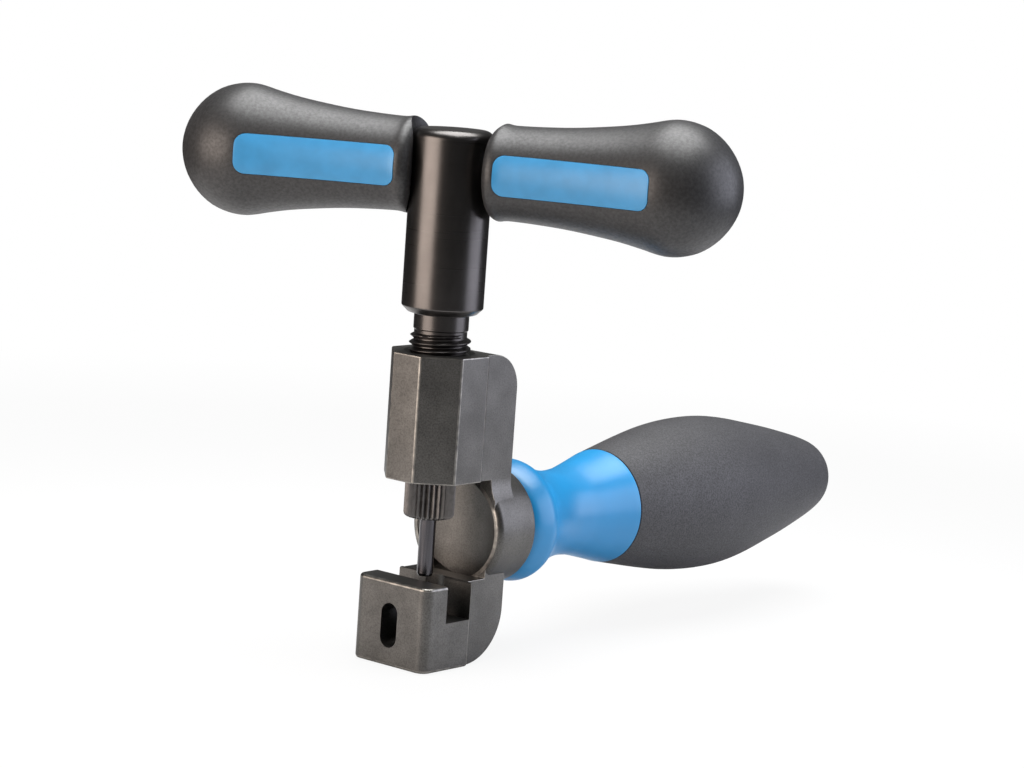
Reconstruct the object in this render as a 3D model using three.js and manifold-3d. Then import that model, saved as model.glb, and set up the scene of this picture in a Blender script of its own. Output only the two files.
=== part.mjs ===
// Bench chain tool for bicycle chains, in millimetres, +Z up.
// The origin lies on the drive screw's axis, at the flat underside of the chain cradle.
// +Y points along the rear handle, +X is the cradle's open side.
import * as THREE from 'three';
import { mergeVertices } from 'three/addons/utils/BufferGeometryUtils.js';
import Module from 'manifold-3d';

const wasm = await Module();
wasm.setup();

// Running and assembly clearance between neighbouring pieces.
const GAP = 0.3;
const OVERCUT = 2;

// Chain cradle.
const BLOCK_HALF = 12.7;
const BLOCK_FRONT = -12.9;
const BLOCK_REAR = 5.0;
const BLOCK_TOP = 22.6;
const BLOCK_CORNER = 3.0;
const GROOVE_FRONT = -4.95;
const GROOVE_REAR = 4.3;
const GROOVE_FLOOR = 12.7;
const RELIEF_R = 5.4;
const RELIEF_FLOOR = 18.9;
const RIVET_BORE_R = 2.9;
const RIVET_BORE_FLOOR = 3.6;
const SLOT_HALF = 2.8;
const SLOT_LOW = 4.9;
const SLOT_HIGH = 16.8;

// Spine joining the cradle to the screw block.
const SPINE_HALF = 11.2;
const SPINE_REAR = 19.3;
const SPINE_FRONT = 11.3;
const SPINE_TOP_R = 9.5;
const SPINE_BOTTOM_R = 14.0;

// Eight-sided screw block.
const OCT_LOW = 49.0;
const OCT_HIGH = 82.3;
const OCT_FLAT = 4.7;
const OCT_HALF = 12.4;
const OCT_CHAMFER = 7.9;
const OCT_REAR = 5.8;
const DRIVE_BORE_R = 8.45;
const COUNTERSINK_R = 9.4;
const COUNTERSINK_DEPTH = 0.9;

// Round boss that carries the rear handle.
const BOSS_Z = 34.5;
const BOSS_R = 15.8;
const BOSS_FRONT = 11.2;
const BOSS_REAR = 25.6;
const BOSS_RIM_R = 13.8;
const BOSS_CHAMFER = 1.2;
const SCOOP_R = 24;
const SCOOP_DEPTH = 4.3;
const STUD_R = 5;
const STUD_FRONT = 17.2;
const STUD_REAR = 57.8;

// Drive screw, turned in one piece with the hub of the T-handle.
const PITCH = 2;
const THREAD_R = 8.1;
const THREAD_ROOT_R = 6.95;
const THREAD_LOW = 53;
const THREAD_HIGH = 88.3;
const NECK_R = 7.2;
const HUB_R = 10.7;
const HUB_LOW = 92.5;
const HUB_TOP = 140.3;
const NOSE_R = 4.2;
const NOSE_LOW = 43.9;

// Push pin and its knurled retainer.
const PIN_R = 2.15;
const PIN_TIP = 22.7;
const PIN_HEAD_R = 3.9;
const PIN_HEAD_LOW = 42.2;
const PIN_HEAD_HIGH = 43.6;
const KNURL_R = 6.65;
const KNURL_DEPTH = 0.35;
const KNURL_RIDGES = 28;
const RETAINER_LOW = 38.4;
const RETAINER_HIGH = 52.6;

// T-handle.
const BAR_Z = 130.2;
const BAR_TURN = THREE.MathUtils.degToRad(23);
const BAR_SLIDE = 1.6;
const BAR_R = 4;
const BAR_HALF = 64;
const GRIP_START = 9.7;
const GRIP_END = 75.4;
const GRIP_COPE_R = 12.6;
const CORE_R = 8.6;
const CORE_START = 13.6;
const PAD_START = 13.3;
const PAD_END = 55.4;
const PAD_HALF = 5.2;
const PAD_CORNER = 2.6;
const PAD_PROUD = 0.15;

// Outer radius of one grip against the distance from the drive axis.
const GRIP_PROFILE = [
  [9.7, 9.9],
  [10.3, 11.5],
  [11.6, 12.6],
  [14, 12.6],
  [22, 12.6],
  [30, 13.0],
  [38, 13.95],
  [45, 14.95],
  [52, 16.3],
  [58, 17.4],
  [61.5, 17.1],
  [65.5, 15.8],
  [69.2, 13.3],
  [72.2, 10.0],
  [74.4, 6.0],
];

// Outer radius of the rear handle against the distance behind the drive axis.
const NECK_PROFILE = [
  [25.9, 15.7],
  [26.4, 16.3],
  [29.0, 16.6],
  [32.0, 16.7],
  [34.3, 16.2],
  [36.2, 15.2],
  [39.0, 13.9],
  [43.0, 12.7],
  [49.5, 11.8],
  [57.0, 12.3],
  [64.5, 14.0],
  [71.2, 15.8],
];
const SLEEVE_PROFILE = [
  [71.5, 15.9],
  [79, 17.4],
  [88, 19.2],
  [98, 20.9],
  [108, 21.8],
  [118, 21.8],
  [127, 20.8],
  [137, 18.9],
  [148.5, 16.5],
  [159, 14.0],
  [166, 12.1],
  [170.5, 10.4],
  [173.6, 7.6],
  [174.6, 6.0],
];
const SLEEVE_WALL = 3.2;
const HANDLE_END = 176.2;
const INSERT_R = 7.4;
const INSERT_FRONT = 33;
const INSERT_REAR = 57.5;

const finish = (color, roughness, metalness) => (
  new THREE.MeshStandardMaterial({ color, roughness, metalness })
);

// ---- closed geometry into a solid and back ----

function solid(geometry) {
  const bare = geometry.index ? geometry.toNonIndexed() : geometry.clone();
  bare.deleteAttribute('normal');
  bare.deleteAttribute('uv');
  const merged = mergeVertices(bare, 1e-5);
  const body = new wasm.Manifold(new wasm.Mesh({
    numProp: 3,
    vertProperties: new Float32Array(merged.attributes.position.array),
    triVerts: new Uint32Array(merged.index.array),
  }));
  return body;
}

function geometryOf(body) {
  const { vertProperties, triVerts } = body.getMesh();
  const geometry = new THREE.BufferGeometry();
  geometry.setAttribute('position', new THREE.BufferAttribute(new Float32Array(vertProperties), 3));
  geometry.setIndex(new THREE.BufferAttribute(new Uint32Array(triVerts), 1));
  geometry.computeVertexNormals();
  return geometry;
}

// Profile of [radius, height] pairs turned about +Z.
function turned(profile, segments = 32) {
  const points = profile.map(([r, z]) => new THREE.Vector2(r, z));
  return new THREE.LatheGeometry(points, segments).rotateX(Math.PI / 2);
}

function rod(radius, low, high, segments = 32) {
  return turned([[0, low], [radius, low], [radius, high], [0, high]], segments);
}

function box(x0, x1, y0, y1, z0, z1) {
  return new THREE.BoxGeometry(x1 - x0, y1 - y0, z1 - z0)
    .translate((x0 + x1) / 2, (y0 + y1) / 2, (z0 + z1) / 2);
}

// Closed outline drawn in (Y, Z) and extruded equally to both sides of X = 0.
function slab(shape, half, curveSegments = 10) {
  const toPlane = new THREE.Matrix4().makeBasis(
    new THREE.Vector3(0, 1, 0),
    new THREE.Vector3(0, 0, 1),
    new THREE.Vector3(1, 0, 0),
  );
  return new THREE.ExtrudeGeometry(shape, { depth: 2 * half, bevelEnabled: false, curveSegments })
    .translate(0, 0, -half)
    .applyMatrix4(toPlane);
}

function plate(shape, low, high, curveSegments = 6) {
  return new THREE.ExtrudeGeometry(shape, { depth: high - low, bevelEnabled: false, curveSegments })
    .translate(0, 0, low);
}

const alongY = (geometry) => geometry.rotateX(-Math.PI / 2);
const alongX = (geometry) => geometry.rotateY(Math.PI / 2);

function place(name, shape, material, parent) {
  const geometry = shape instanceof THREE.BufferGeometry ? shape : geometryOf(shape);
  const mesh = new THREE.Mesh(geometry, material);
  mesh.name = name;
  parent.add(mesh);
  return mesh;
}

// ---- body casting ----

function bodyCasting() {
  const side = new THREE.Shape();
  side.moveTo(0, OCT_HIGH);
  side.lineTo(0, OCT_LOW);
  side.lineTo(SPINE_FRONT, OCT_LOW);
  side.lineTo(SPINE_FRONT, BLOCK_TOP);
  side.lineTo(0, BLOCK_TOP);
  side.lineTo(0, 0);
  side.lineTo(SPINE_REAR - SPINE_BOTTOM_R, 0);
  side.absarc(SPINE_REAR - SPINE_BOTTOM_R, SPINE_BOTTOM_R, SPINE_BOTTOM_R, -Math.PI / 2, 0, false);
  side.lineTo(SPINE_REAR, OCT_HIGH - SPINE_TOP_R);
  side.absarc(SPINE_REAR - SPINE_TOP_R, OCT_HIGH - SPINE_TOP_R, SPINE_TOP_R, 0, Math.PI / 2, false);
  side.closePath();
  const spine = solid(slab(side, SPINE_HALF));

  const front = new THREE.Shape();
  front.moveTo(-OCT_FLAT, -OCT_HALF - 0.2);
  front.lineTo(OCT_FLAT, -OCT_HALF - 0.2);
  front.lineTo(OCT_HALF, -OCT_HALF - 0.2 + OCT_CHAMFER);
  front.lineTo(OCT_HALF, OCT_REAR);
  front.lineTo(SPINE_HALF - 0.5, OCT_REAR + 1.4);
  front.lineTo(-SPINE_HALF + 0.5, OCT_REAR + 1.4);
  front.lineTo(-OCT_HALF, OCT_REAR);
  front.lineTo(-OCT_HALF, -OCT_HALF - 0.2 + OCT_CHAMFER);
  front.closePath();
  const screwBlock = solid(plate(front, OCT_LOW, OCT_HIGH));

  const plan = new THREE.Shape();
  plan.moveTo(-BLOCK_HALF + BLOCK_CORNER, BLOCK_FRONT);
  plan.lineTo(BLOCK_HALF - BLOCK_CORNER, BLOCK_FRONT);
  plan.absarc(BLOCK_HALF - BLOCK_CORNER, BLOCK_FRONT + BLOCK_CORNER, BLOCK_CORNER, -Math.PI / 2, 0, false);
  plan.lineTo(BLOCK_HALF, BLOCK_REAR);
  plan.lineTo(-BLOCK_HALF, BLOCK_REAR);
  plan.absarc(-BLOCK_HALF + BLOCK_CORNER, BLOCK_FRONT + BLOCK_CORNER, BLOCK_CORNER, Math.PI, Math.PI * 1.5, false);
  const cradle = solid(plate(plan, 0, BLOCK_TOP));

  const boss = solid(alongY(turned([
    [0, BOSS_FRONT],
    [BOSS_R - BOSS_CHAMFER, BOSS_FRONT],
    [BOSS_R, BOSS_FRONT + BOSS_CHAMFER],
    [BOSS_R, BOSS_REAR - 0.6],
    [BOSS_R - 0.6, BOSS_REAR],
    [0, BOSS_REAR],
  ], 48)).translate(0, 0, BOSS_Z));

  const slot = new THREE.Shape();
  slot.absarc(0, SLOT_HIGH - SLOT_HALF, SLOT_HALF, 0, Math.PI, false);
  slot.absarc(0, SLOT_LOW + SLOT_HALF, SLOT_HALF, Math.PI, 2 * Math.PI, false);
  const window = solid(new THREE.ExtrudeGeometry(slot, {
    depth: -BLOCK_FRONT + OVERCUT,
    bevelEnabled: false,
    curveSegments: 8,
  }).rotateX(Math.PI / 2));

  const scoop = solid(rod(SCOOP_R, 0, OCT_LOW + 9, 96)
    .translate(0, BOSS_FRONT + SCOOP_DEPTH - SCOOP_R, 0))
    .intersect(solid(alongY(rod(BOSS_RIM_R, BOSS_FRONT - 0.4, BOSS_FRONT + 6, 40)).translate(0, 0, BOSS_Z)))
    .subtract(solid(box(-40, 40, -40, 40, OCT_LOW, OCT_LOW + 30)));

  const bore = solid(turned([
    [0, OCT_LOW - OVERCUT],
    [DRIVE_BORE_R, OCT_LOW - OVERCUT],
    [DRIVE_BORE_R, OCT_HIGH - COUNTERSINK_DEPTH],
    [COUNTERSINK_R, OCT_HIGH],
    [COUNTERSINK_R, OCT_HIGH + OVERCUT],
    [0, OCT_HIGH + OVERCUT],
  ], 40));

  return spine
    .add(screwBlock)
    .add(cradle)
    .add(boss)
    .subtract(bore)
    .subtract(scoop)
    .subtract(solid(box(-20, 20, GROOVE_FRONT, GROOVE_REAR, GROOVE_FLOOR, BLOCK_TOP + OVERCUT)))
    .subtract(solid(rod(RELIEF_R, RELIEF_FLOOR, BLOCK_TOP + OVERCUT, 32)))
    .subtract(solid(rod(RIVET_BORE_R, RIVET_BORE_FLOOR, GROOVE_FLOOR + OVERCUT, 20)))
    .subtract(window)
    .subtract(solid(alongY(rod(STUD_R + GAP, STUD_FRONT - GAP, BOSS_REAR + OVERCUT, 24)).translate(0, 0, BOSS_Z)));
}

// ---- drive screw ----

// Right-hand thread as one helical skin: three rows to each pitch, closed by a fan at both ends.
function threadSkin(low, turns, segments) {
  const rows = [
    [THREAD_ROOT_R, 0],
    [THREAD_R, 0.42],
    [THREAD_R, 0.58],
  ];
  const perTurn = rows.length;
  const count = turns * perTurn + 1;
  const positions = [];
  const vertex = (row, step) => {
    const [radius, offset] = rows[row % perTurn];
    const angle = (2 * Math.PI * step) / segments;
    const height = low + PITCH * (Math.floor(row / perTurn) + offset + step / segments);
    return [radius * Math.cos(angle), radius * Math.sin(angle), height];
  };
  const triangle = (...corners) => corners.forEach((corner) => positions.push(...corner));
  for (let row = 0; row < count - 1; row += 1) {
    for (let step = 0; step < segments; step += 1) {
      const a = vertex(row, step);
      const b = vertex(row, step + 1);
      const c = vertex(row + 1, step + 1);
      const d = vertex(row + 1, step);
      triangle(a, b, c);
      triangle(a, c, d);
    }
  }
  // Each end's rim: one turn of the outermost row, then down the profile to where it began.
  const rim = (first) => {
    const ring = [];
    for (let step = 0; step <= segments; step += 1) ring.push(vertex(first, step));
    for (let row = perTurn - 1; row > 0; row -= 1) ring.push(vertex(first + row, 0));
    return ring;
  };
  const fan = (ring, centre, flip) => ring.forEach((corner, i) => {
    const next = ring[(i + 1) % ring.length];
    triangle(centre, ...(flip ? [next, corner] : [corner, next]));
  });
  fan(rim(0), [0, 0, low], true);
  // The top rim's step lies on the seam one turn higher.
  const top = [];
  const last = count - 1;
  for (let step = 0; step <= segments; step += 1) top.push(vertex(last, step));
  for (let row = perTurn - 1; row > 0; row -= 1) {
    const [x, y, z] = vertex(last - perTurn + row, segments);
    top.push([x, y, z]);
  }
  fan(top, [0, 0, low + PITCH * (turns + 1)], false);
  const geometry = new THREE.BufferGeometry();
  geometry.setAttribute('position', new THREE.Float32BufferAttribute(positions, 3));
  return geometry;
}

function driveScrew() {
  const length = THREAD_HIGH - THREAD_LOW;
  const turns = Math.ceil(length / PITCH) + 2;
  const envelope = solid(turned([
    [0, THREAD_LOW],
    [THREAD_ROOT_R, THREAD_LOW],
    [THREAD_R + 0.1, THREAD_LOW + 1.2],
    [THREAD_R + 0.1, THREAD_HIGH - 0.8],
    [THREAD_ROOT_R, THREAD_HIGH],
    [0, THREAD_HIGH],
  ], 20));
  const thread = solid(threadSkin(THREAD_LOW - PITCH, turns, 20)).intersect(envelope);
  const shaft = solid(turned([
    [0, NOSE_LOW],
    [NOSE_R - 0.5, NOSE_LOW],
    [NOSE_R, NOSE_LOW + 0.5],
    [NOSE_R, THREAD_LOW],
    [THREAD_ROOT_R - 0.6, THREAD_LOW],
    [THREAD_ROOT_R - 0.6, THREAD_HIGH - 0.6],
    [NECK_R, THREAD_HIGH - 0.2],
    [NECK_R, HUB_LOW],
    [HUB_R - 1.55, HUB_LOW],
    [HUB_R, HUB_LOW + 1.45],
    [HUB_R, HUB_TOP - 2.8],
    [HUB_R - 0.4, HUB_TOP - 1.3],
    [HUB_R - 1.3, HUB_TOP - 0.4],
    [HUB_R - 2.8, HUB_TOP],
    [0, HUB_TOP],
  ], 40));
  const barHole = solid(alongX(rod(BAR_R + GAP, -20, 20, 24)).rotateZ(BAR_TURN).translate(0, 0, BAR_Z));
  return shaft.add(thread).subtract(barHole);
}

function pinRetainer() {
  const star = new THREE.Shape();
  const points = 2 * KNURL_RIDGES;
  for (let i = 0; i < points; i += 1) {
    const angle = (2 * Math.PI * i) / points;
    const radius = i % 2 ? KNURL_R - KNURL_DEPTH : KNURL_R;
    const move = i === 0 ? 'moveTo' : 'lineTo';
    star[move](radius * Math.cos(angle), radius * Math.sin(angle));
  }
  star.closePath();
  const rounding = solid(turned([
    [0, RETAINER_LOW],
    [KNURL_R - 1.1, RETAINER_LOW],
    [KNURL_R + 0.1, RETAINER_LOW + 0.9],
    [KNURL_R + 0.1, RETAINER_HIGH - 0.6],
    [KNURL_R - 0.6, RETAINER_HIGH],
    [0, RETAINER_HIGH],
  ], 40));
  const inside = solid(turned([
    [0, RETAINER_LOW - OVERCUT],
    [PIN_R + GAP, RETAINER_LOW - OVERCUT],
    [PIN_R + GAP, PIN_HEAD_LOW - GAP],
    [NOSE_R + GAP, PIN_HEAD_LOW - GAP],
    [NOSE_R + GAP, RETAINER_HIGH + OVERCUT],
    [0, RETAINER_HIGH + OVERCUT],
  ], 20));
  return solid(plate(star, RETAINER_LOW - 1, RETAINER_HIGH + 1)).intersect(rounding).subtract(inside);
}

function pushPin() {
  return turned([
    [0, PIN_TIP],
    [PIN_R - 0.35, PIN_TIP],
    [PIN_R, PIN_TIP + 0.35],
    [PIN_R, PIN_HEAD_LOW],
    [PIN_HEAD_R, PIN_HEAD_LOW],
    [PIN_HEAD_R, PIN_HEAD_HIGH],
    [0, PIN_HEAD_HIGH],
  ], 20);
}

// ---- T-handle, drawn along +X from the drive axis ----

const raise = (profile, by) => profile.map(([s, r]) => [r + by, s]);

// Rounded outline of the window seen from the front, cut right through the grip.
function padPrism(grow) {
  const [x0, x1, h, r] = [PAD_START - grow, PAD_END + grow, PAD_HALF + grow, PAD_CORNER + grow];
  const shape = new THREE.Shape();
  shape.absarc(x1 - r, h - r, r, 0, Math.PI / 2, false);
  shape.absarc(x0 + r, h - r, r, Math.PI / 2, Math.PI, false);
  shape.absarc(x0 + r, -h + r, r, Math.PI, Math.PI * 1.5, false);
  shape.absarc(x1 - r, -h + r, r, Math.PI * 1.5, 2 * Math.PI, false);
  return solid(new THREE.ExtrudeGeometry(shape, { depth: 50, bevelEnabled: false, curveSegments: 4 })
    .translate(0, 0, -25)
    .rotateX(Math.PI / 2));
}

const outerTurn = (by) => alongX(turned([
  [0, GRIP_START - by],
  ...raise(GRIP_PROFILE, by),
  [0, GRIP_END + by],
], 32));

function gripCore() {
  const barrel = solid(alongX(rod(CORE_R, CORE_START, BAR_HALF + 4, 20)));
  const pads = solid(outerTurn(PAD_PROUD)).intersect(padPrism(0));
  const bore = solid(alongX(rod(BAR_R + GAP, 0, BAR_HALF + GAP, 16)));
  return barrel.add(pads).subtract(bore);
}

// The inner end is hollowed by an upright cylinder, so that it wraps the hub.
function gripShell() {
  const bore = solid(alongX(turned([
    [0, 0],
    [BAR_R + GAP, 0],
    [BAR_R + GAP, CORE_START - GAP],
    [CORE_R + GAP, CORE_START - GAP],
    [CORE_R + GAP, BAR_HALF + 4 + GAP],
    [0, BAR_HALF + 4 + GAP],
  ], 20)));
  const cope = solid(rod(GRIP_COPE_R, -20, 20, 48));
  return solid(outerTurn(0)).subtract(bore).subtract(padPrism(GAP)).subtract(cope);
}

// ---- rear handle, drawn along +Y from the drive axis ----

const sleeveInner = SLEEVE_PROFILE.map(([s, r]) => [Math.max(r - SLEEVE_WALL, 4.5), s]);

function handleCore() {
  const tail = sleeveInner.map(([r, s]) => [r - GAP, s]);
  const outer = solid(alongY(turned([
    [0, NECK_PROFILE[0][0]],
    ...raise(NECK_PROFILE, 0),
    ...tail.slice(0, -2).map(([r, s], i) => (i === 0 ? [r, NECK_PROFILE.at(-1)[0]] : [r, s])),
    [5.6, 172.4],
    [5.6, 174.6],
    [4.6, HANDLE_END - 0.4],
    [2.6, HANDLE_END],
    [0, HANDLE_END],
  ], 28)));
  const bore = solid(alongY(turned([
    [0, 20],
    [STUD_R + GAP, 20],
    [STUD_R + GAP, INSERT_FRONT - GAP],
    [INSERT_R + GAP, INSERT_FRONT - GAP],
    [INSERT_R + GAP, INSERT_REAR + GAP],
    [STUD_R + GAP, INSERT_REAR + GAP],
    [STUD_R + GAP, INSERT_REAR + 3],
    [0, INSERT_REAR + 3],
  ], 20)));
  return outer.subtract(bore);
}

function handleSleeve() {
  const outside = raise(SLEEVE_PROFILE, 0);
  const inside = sleeveInner.slice(0, -2).reverse();
  return alongY(turned([
    ...outside,
    [5.9, 172.1],
    ...inside,
    outside[0],
  ], 28));
}

function handleStud() {
  return alongY(turned([
    [0, STUD_FRONT],
    [STUD_R - 0.8, STUD_FRONT],
    [STUD_R, STUD_FRONT + 0.8],
    [STUD_R, STUD_REAR - 0.8],
    [STUD_R - 0.8, STUD_REAR],
    [0, STUD_REAR],
  ], 20));
}

function handleInsert() {
  return alongY(turned([
    [STUD_R + GAP, INSERT_FRONT],
    [INSERT_R, INSERT_FRONT],
    [INSERT_R, INSERT_REAR],
    [STUD_R + GAP, INSERT_REAR],
    [STUD_R + GAP, INSERT_FRONT],
  ], 20));
}

// ---- assembly ----

const group = new THREE.Group();
const rear = new THREE.Group();
rear.position.z = BOSS_Z;
const tee = new THREE.Group();
tee.position.set(BAR_SLIDE * Math.cos(BAR_TURN), BAR_SLIDE * Math.sin(BAR_TURN), BAR_Z);
tee.rotation.z = BAR_TURN;
const mirrored = new THREE.Group();
mirrored.rotation.z = Math.PI;
tee.add(mirrored);
group.add(rear, tee);

place('body_casting', bodyCasting(), finish('#4f4c4a', 0.45, 0.9), group);
place('drive_screw', driveScrew(), finish('#3f3c3a', 0.3, 0.95), group);
place('pin_retainer', pinRetainer(), finish('#413d3a', 0.4, 0.9), group);
place('push_pin', pushPin(), finish('#5b5754', 0.25, 0.95), group);

place('handle_stud', handleStud(), finish('#8d8f92', 0.35, 0.95), rear);
place('handle_insert', handleInsert(), finish('#b48a3c', 0.35, 0.95), rear);
place('handle_core', handleCore(), finish('#1e86d2', 0.3, 0), rear);
place('handle_sleeve', handleSleeve(), finish('#4c4c4e', 0.75, 0), rear);

place('cross_bar', alongX(rod(BAR_R, -BAR_HALF, BAR_HALF, 20)), finish('#8d8f92', 0.3, 0.95), tee);
for (const [side, parent] of [['right', tee], ['left', mirrored]]) {
  place(`grip_core_${side}`, gripCore(), finish('#3a94dc', 0.35, 0), parent);
  place(`grip_shell_${side}`, gripShell(), finish('#47484a', 0.7, 0), parent);
}

export default group;
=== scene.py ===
"""Bench chain tool for bicycle chains: casting, drive screw, push pin and moulded handles.

Each piece is made by its own operator. Sizes and colours are in the panel's property groups.
"""

import math

import bpy
from mathutils import Matrix, Vector


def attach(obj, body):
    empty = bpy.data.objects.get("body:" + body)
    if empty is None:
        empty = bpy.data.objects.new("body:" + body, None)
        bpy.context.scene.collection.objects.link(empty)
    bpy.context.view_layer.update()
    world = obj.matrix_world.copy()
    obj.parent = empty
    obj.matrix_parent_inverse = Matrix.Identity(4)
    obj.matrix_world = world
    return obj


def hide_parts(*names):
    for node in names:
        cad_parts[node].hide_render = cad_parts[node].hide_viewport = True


bl_info = {
    "name": "Bench chain tool",
    "version": (1, 0, 0),
    "blender": (4, 5, 0),
    "location": "View3D > Sidebar > Chain tool",
    "description": "Builds a bench chain tool around its packed solids",
    "category": "Object",
}

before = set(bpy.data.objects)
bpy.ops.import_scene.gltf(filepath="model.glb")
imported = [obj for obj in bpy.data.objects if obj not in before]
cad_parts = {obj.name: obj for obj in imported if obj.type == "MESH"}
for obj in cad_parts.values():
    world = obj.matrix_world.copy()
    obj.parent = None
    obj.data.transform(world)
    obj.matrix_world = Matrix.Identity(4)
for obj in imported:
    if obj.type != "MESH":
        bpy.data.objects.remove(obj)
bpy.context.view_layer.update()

MM = 0.001
X, Y, Z = Vector((1, 0, 0)), Vector((0, 1, 0)), Vector((0, 0, 1))
# Heights in mm above the cradle's foot, which stands on the floor.
CRADLE_TOP = 22.6
BLOCK_FOOT = 49
BLOCK_TOP = 82.3
THREAD_LOW = 54.2
# The boss and the rear handle are turned about a line along Y through this point.
HANDLE_LINE = (0, 0, 34.5)


# ---------------------------------------------------------------- colours and nodes


def linear(code):
    """An sRGB hex colour as linear red, green and blue."""
    parts = [int(code[i : i + 2], 16) / 255 for i in (1, 3, 5)]
    return [c / 12.92 if c <= 0.04045 else ((c + 0.055) / 1.055) ** 2.4 for c in parts]


def tone(colour, times=1.0):
    """A linear colour made lighter or darker, with full alpha."""
    return (*[min(1.0, c * times) for c in colour], 1.0)


def add(tree, kind, inputs=None, stops=(), **settings):
    """A node of this kind, with its settings, its inputs linked or set, and its ramp's stops."""
    node = tree.nodes.new(kind)
    for name, value in settings.items():
        setattr(node, name, value)
    for name, value in (inputs or {}).items():
        if isinstance(value, bpy.types.NodeSocket):
            tree.links.new(value, node.inputs[name])
        else:
            node.inputs[name].default_value = value
    for i, (position, level) in enumerate(stops):
        point = node.color_ramp.elements[i]
        point.position = position
        point.color = level if isinstance(level, tuple) else (level, level, level, 1)
    return node


def start_material(name):
    """An empty node material, its node tree and its Object coordinates."""
    material = bpy.data.materials.new(name)
    material.use_nodes = True
    tree = material.node_tree
    tree.nodes.clear()
    return material, tree, add(tree, "ShaderNodeTexCoord").outputs["Object"]


def close_material(tree, inputs):
    """Ends a material with a Principled shader that has these inputs."""
    shader = add(tree, "ShaderNodeBsdfPrincipled", inputs)
    add(tree, "ShaderNodeOutputMaterial", {"Surface": shader.outputs["BSDF"]})


def blobs(tree, where, size_mm, detail=2.0, stretch=(1, 1, 1), roughness=0.5):
    """A pattern of soft blobs about size_mm across, drawn out along the axes by stretch."""
    placed = add(tree, "ShaderNodeMapping", {"Vector": where, "Scale": [1 / s for s in stretch]})
    look = {"Scale": 1 / (size_mm * MM), "Detail": detail, "Roughness": roughness}
    look["Vector"] = placed.outputs["Vector"]
    return add(tree, "ShaderNodeTexNoise", look).outputs["Fac"]


def drifting(tree, pattern, low, high, start=0.3, end=0.7):
    """A colour that drifts from low to high as the pattern goes from start to end."""
    share = add(tree, "ShaderNodeValToRGB", {"Fac": pattern}, [(start, 0.0), (end, 1.0)])
    sides = {"Factor": share.outputs["Color"], 6: low, 7: high}
    return add(tree, "ShaderNodeMix", sides, data_type="RGBA").outputs[2]


def speckled(tree, pattern, colour, darkest, start, end):
    """The colour, darkened where the pattern is low, by up to the darkest grey."""
    grey = [(start, tone(linear(darkest))), (end, tone(linear("#ffffff")))]
    specks = add(tree, "ShaderNodeValToRGB", {"Fac": pattern}, grey)
    sides = {"Factor": 1.0, 6: colour, 7: specks.outputs["Color"]}
    both = add(tree, "ShaderNodeMix", sides, data_type="RGBA", blend_type="MULTIPLY")
    return both.outputs[2]


# ---------------------------------------------------------------- finishes


def black_oxide_casting(colours):
    """Investment-cast steel, bead blasted and black oxided: a dark satin skin with sandy grain."""
    material, tree, where = start_material("Black oxide cast steel")
    cloud = blobs(tree, where, 7.0, detail=4.0)
    # Blasted grain is about 0.15 mm; it is drawn at 0.4 mm so that it shows.
    grain = blobs(tree, where, 0.4, detail=3.0, roughness=0.6)
    skin = drifting(tree, cloud, tone(colours.casting, 0.85), tone(colours.casting, 1.15))
    gloss = add(tree, "ShaderNodeValToRGB", {"Fac": grain}, [(0.3, 0.36), (0.7, 0.46)])
    dents = add(tree, "ShaderNodeBump", {"Height": grain, "Distance": 0.03 * MM, "Strength": 0.2})
    close_material(
        tree,
        {
            "Metallic": 1.0,
            "Base Color": speckled(tree, grain, skin, "#cfcfcf", 0.3, 0.6),
            "Roughness": gloss.outputs["Color"],
            "Normal": dents.outputs["Normal"],
        },
    )
    return material


def rubbed_edge_and_highlight(colours):
    """Casting's corners, where handling has rubbed the oxide thin: brighter, smoother steel. It is
    also painted highlight, standing in for light caught along the edges.
    """
    material, tree, where = start_material("Rubbed steel edge and painted highlight")
    patch = blobs(tree, where, 2.5, detail=4.0)
    rubbed = drifting(tree, patch, tone(colours.casting, 1.15), tone(colours.worn_and_highlight), 0.35, 0.75)
    close_material(tree, {"Metallic": 1.0, "Roughness": 0.36, "Base Color": rubbed})
    return material


def black_oxide_turned(colours):
    """Turned steel, black oxided: smooth and glossier than the casting, with fine lathe rings."""
    material, tree, where = start_material("Black oxide turned steel")
    # Feed marks run round the axis, 0.3 mm apart, so the pattern hardly changes across X and Y.
    rings = blobs(tree, where, 0.3, detail=1.0, stretch=(300, 300, 1))
    cloud = blobs(tree, where, 5.0, detail=3.0, stretch=(1, 1, 3))
    gloss = add(tree, "ShaderNodeValToRGB", {"Fac": rings}, [(0.3, 0.27), (0.7, 0.33)])
    marks = add(tree, "ShaderNodeBump", {"Height": rings, "Distance": 0.002 * MM, "Strength": 0.06})
    close_material(
        tree,
        {
            "Metallic": 1.0,
            "Base Color": drifting(
                tree, cloud, tone(colours.turned, 0.88), tone(colours.turned, 1.12)
            ),
            "Roughness": gloss.outputs["Color"],
            "Normal": marks.outputs["Normal"],
        },
    )
    return material


def rolled_knurl(colours):
    """Knurl rolled into the same turned steel: no lathe rings, and drawn 1.2 to 1.7 times as light
    as the screw's turned colour.
    """
    material, tree, where = start_material("Black oxide knurl")
    cloud = blobs(tree, where, 1.5, detail=3.0)
    gloss = add(tree, "ShaderNodeValToRGB", {"Fac": cloud}, [(0.3, 0.30), (0.7, 0.38)])
    skin = drifting(tree, cloud, tone(colours.turned, 1.2), tone(colours.turned, 1.7))
    close_material(
        tree, {"Metallic": 1.0, "Base Color": skin, "Roughness": gloss.outputs["Color"]}
    )
    return material


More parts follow.
